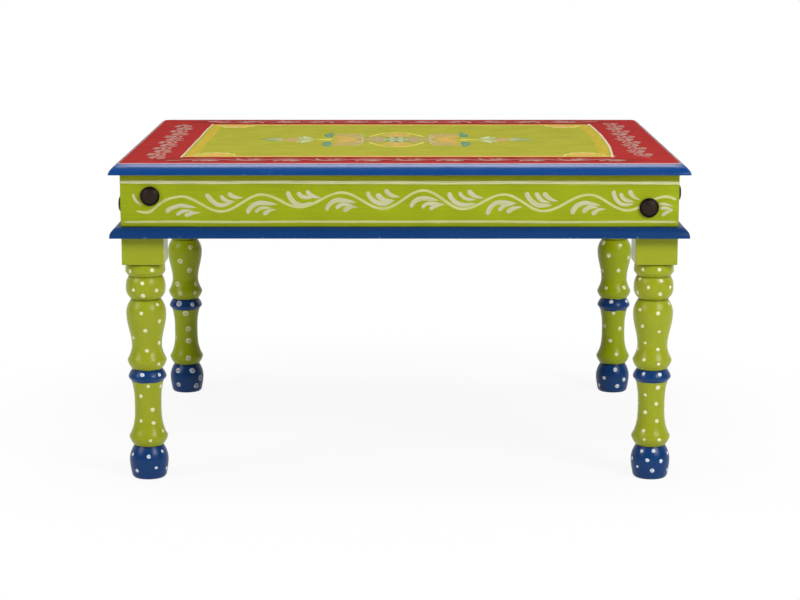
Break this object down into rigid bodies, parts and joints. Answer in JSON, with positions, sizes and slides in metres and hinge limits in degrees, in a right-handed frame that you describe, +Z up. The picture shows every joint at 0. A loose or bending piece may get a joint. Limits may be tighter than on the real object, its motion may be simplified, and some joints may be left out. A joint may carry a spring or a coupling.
{
  "type": "coffee table",
  "caption": "Low rectangular table with a moulded top, bolted apron and turned, dotted legs, hand-painted with folk vine scrolls and a floral medallion.",
  "frame": {"origin": "on the floor, under the middle of the table", "axes": "+X along the length, to the right of someone who faces the front, -Y out of the front, +Z up"},
  "size_m": [0.8, 0.65, 0.45],
  "materials": {
    "top_paint": "satin hand-painted enamel",
    "green_paint": "satin paint",
    "blue_paint": "satin paint",
    "cream_paint": "raised brush paint",
    "red_paint": "satin paint",
    "dark_iron": "blackened",
    "zinc_steel": "zinc plated",
    "bare_wood": "sawn"
  },
  "bodies": {
    "root": {"table_top": "top_paint", "apron_front": "green_paint", "apron_right": "green_paint", "apron_back": "green_paint", "apron_left": "green_paint", "moulding_front": "blue_paint", "moulding_right": "blue_paint", "moulding_back": "blue_paint", "moulding_left": "blue_paint", "leg_front_right": "green_paint", "leg_back_right": "green_paint", "leg_back_left": "green_paint", "leg_front_left": "green_paint", "bolt_front_high": "dark_iron", "washer_front_high": "zinc_steel", "nut_front_high": "zinc_steel", "bolt_front_low": "dark_iron", "washer_front_low": "zinc_steel", "nut_front_low": "zinc_steel", "bolt_right_high": "dark_iron", "washer_right_high": "zinc_steel", "nut_right_high": "zinc_steel", "bolt_right_low": "dark_iron", "washer_right_low": "zinc_steel", "nut_right_low": "zinc_steel", "bolt_back_high": "dark_iron", "washer_back_high": "zinc_steel", "nut_back_high": "zinc_steel", "bolt_back_low": "dark_iron", "washer_back_low": "zinc_steel", "nut_back_low": "zinc_steel", "bolt_left_high": "dark_iron", "washer_left_high": "zinc_steel", "nut_left_high": "zinc_steel", "bolt_left_low": "dark_iron", "washer_left_low": "zinc_steel", "nut_left_low": "zinc_steel", "cleat_front": "bare_wood", "cleat_right": "bare_wood", "cleat_back": "bare_wood", "cleat_left": "bare_wood", "cleat_screw_front_1": "zinc_steel", "cleat_screw_front_2": "zinc_steel", "cleat_screw_front_3": "zinc_steel", "cleat_screw_right_1": "zinc_steel", "cleat_screw_right_2": "zinc_steel", "cleat_screw_back_1": "zinc_steel", "cleat_screw_back_2": "zinc_steel", "cleat_screw_back_3": "zinc_steel", "cleat_screw_left_1": "zinc_steel", "cleat_screw_left_2": "zinc_steel", "moulding_screw_front_1": "zinc_steel", "moulding_screw_front_2": "zinc_steel", "moulding_screw_right_1": "zinc_steel", "moulding_screw_right_2": "zinc_steel", "moulding_screw_back_1": "zinc_steel", "moulding_screw_back_2": "zinc_steel", "moulding_screw_left_1": "zinc_steel", "moulding_screw_left_2": "zinc_steel"}
  },
  "joints": []
}
